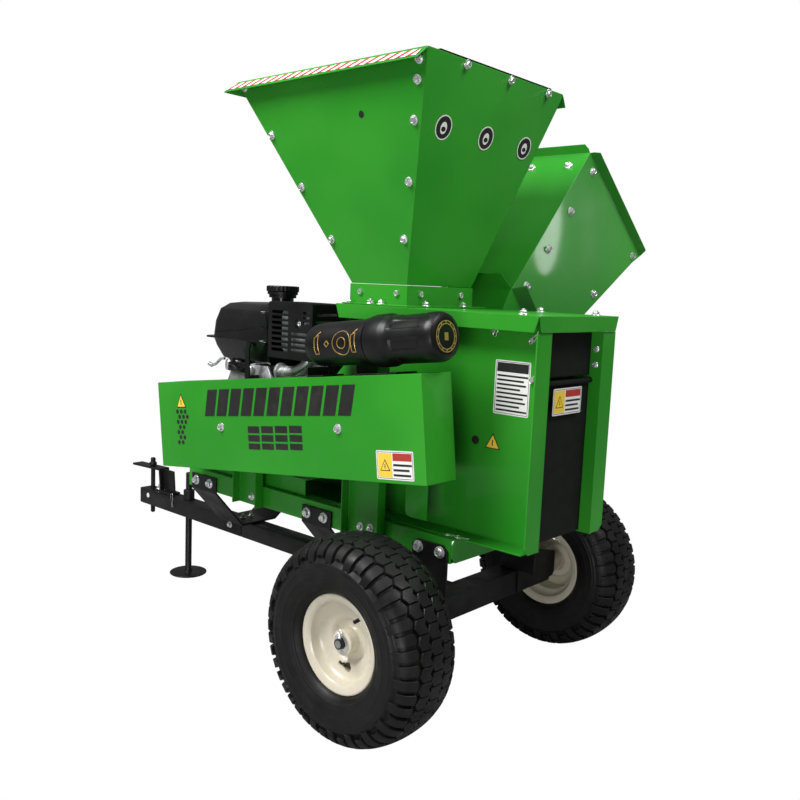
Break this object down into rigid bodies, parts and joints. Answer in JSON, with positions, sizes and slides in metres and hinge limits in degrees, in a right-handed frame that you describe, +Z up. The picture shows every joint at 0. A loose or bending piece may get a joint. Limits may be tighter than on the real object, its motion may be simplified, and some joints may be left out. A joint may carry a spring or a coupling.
{
  "type": "wood chipper",
  "caption": "Petrol wood chipper shredder on a two-wheel towed frame, with top hopper, side branch chute, belt-driven rotor, drawbar tongue and front stand.",
  "frame": {"origin": "on level ground, midway between the two tyres and under the middle of the overall length", "axes": "+X to the rear, where the chips come out; -X to the towing hitch; +Y to the side the branch chute leans to; +Z up"},
  "size_m": [1.4415, 1.1449, 1.2398],
  "materials": {
    "green_coat": "semi-gloss powder coat on folded steel sheet",
    "black_coat": "satin black powder coat",
    "cream_coat": "gloss enamel on pressed steel",
    "tyre_rubber": "turf-pattern moulded rubber",
    "flap_rubber": "plain fabric-backed rubber sheet",
    "belt_rubber": "wrapped V-belt",
    "steel": "bare machined and hardened steel",
    "cast_metal": "as-cast, lightly machined on faces",
    "black_plastic": "fine-grained moulding and black enamel on covers"
  },
  "bodies": {
    "machine": {"air_cleaner": "black_plastic", "axle_beam": "black_coat", "axle_bracket_left": "black_coat", "axle_bracket_right": "black_coat", "bearing_left": "cast_metal", "bearing_right": "cast_metal", "belt_guard": "green_coat", "blower_housing": "black_plastic", "canister_bracket_front": "black_coat", "canister_bracket_rear": "black_coat", "canister_tube": "black_plastic", "chipper_chute": "green_coat", "chute_throat": "green_coat", "discharge_screen": "steel", "drive_belt": "belt_rubber", "engine_base": "green_coat", "engine_crankcase": "cast_metal", "engine_cylinder": "cast_metal", "frame_rail_left": "green_coat", "frame_rail_right": "green_coat", "front_strap": "black_coat", "fuel_tank": "black_plastic", "guard_upright_front": "green_coat", "guard_upright_rear": "green_coat", "hitch_upper_strap": "black_coat", "hopper_collar": "green_coat", "hopper_curtain": "flap_rubber", "hopper_shell": "green_coat", "housing_front": "green_coat", "jack_sleeve": "black_coat", "middle_strap": "black_coat", "muffler": "black_plastic", "rear_cross_member": "green_coat", "rear_upper_panel": "flap_rubber", "side_plate_left": "green_coat", "side_plate_right": "green_coat", "tongue_front_tube": "black_coat", "tongue_rear_tube": "black_coat", "top_plate": "green_coat"},
    "wheel_left": {"rim_left": "cream_coat", "tyre_left": "tyre_rubber"},
    "wheel_right": {"rim_right": "cream_coat", "tyre_right": "tyre_rubber"},
    "rotor": {"rotor_shaft": "steel", "rotor_disc_left": "steel", "rotor_disc_right": "steel", "chipper_knife_1": "steel", "chipper_knife_2": "steel", "shredder_flail_1": "steel", "shredder_flail_2": "steel", "rotor_pulley": "cast_metal"},
    "clutch": {"engine_clutch": "steel"},
    "flap": {"discharge_flap": "flap_rubber"},
    "jack": {"jack_leg": "black_coat"},
    "towing_pin": {"hitch_pin": "black_coat"},
    "tank_cap": {"fuel_cap": "black_plastic"},
    "canister_lid": {"canister_cap": "black_plastic"},
    "starter_grip": {"starter_handle": "black_plastic"},
    "throttle": {"throttle_lever": "black_plastic"},
    "stop_switch": {"engine_switch": "black_plastic"}
  },
  "joints": [
    {"name": "wheel_left_spin", "type": "hinge", "parent": "machine", "child": "wheel_left", "pos_m": [0.4914, -0.334, 0.1905], "axis": [0, 1, 0], "continuous": true},
    {"name": "wheel_right_spin", "type": "hinge", "parent": "machine", "child": "wheel_right", "pos_m": [0.4914, 0.334, 0.1905], "axis": [0, 1, 0], "continuous": true},
    {"name": "rotor_spin", "type": "hinge", "parent": "machine", "child": "rotor", "pos_m": [0.46, -0.014, 0.5625], "axis": [0, 1, 0], "continuous": true},
    {"name": "clutch_spin", "type": "hinge", "parent": "machine", "child": "clutch", "pos_m": [-0.115, -0.235, 0.4895], "axis": [0, 1, 0], "continuous": true},
    {"name": "flap_swing", "type": "hinge", "parent": "machine", "child": "flap", "pos_m": [0.696, -0.014, 0.658], "axis": [0, -1, 0], "range_deg": [0, 75]},
    {"name": "jack_lift", "type": "slide", "parent": "machine", "child": "jack", "axis": [0, 0, 1], "range_m": [0, 0.15]},
    {"name": "towing_pin_pull", "type": "slide", "parent": "machine", "child": "towing_pin", "axis": [0, 0, 1], "range_m": [0, 0.17]},
    {"name": "tank_cap_turn", "type": "hinge", "parent": "machine", "child": "tank_cap", "pos_m": [-0.112, -0.01, 0.7865], "axis": [0, 0, 1], "range_deg": [0, 90]},
    {"name": "canister_lid_turn", "type": "hinge", "parent": "machine", "child": "canister_lid", "pos_m": [0.43918, -0.232, 0.72111], "axis": [0.9923, 0, 0.1236], "range_deg": [-360, 0]},
    {"name": "starter_pull", "type": "slide", "parent": "machine", "child": "starter_grip", "axis": [0, 0.9397, 0.342], "range_m": [0, 0.5], "stiffness_N_per_m": 25, "springref_m": -0.12},
    {"name": "throttle_swing", "type": "hinge", "parent": "machine", "child": "throttle", "pos_m": [-0.083, -0.12, 0.595], "axis": [0, 1, 0], "range_deg": [-18, 18]},
    {"name": "stop_switch_turn", "type": "hinge", "parent": "machine", "child": "stop_switch", "pos_m": [-0.2103, -0.0075, 0.485], "axis": [1, 0, 0], "range_deg": [0, 60]}
  ],
  "couplings": [
    {"joint": "clutch_spin", "follows": "rotor_spin", "ratio": 1.6667}
  ]
}
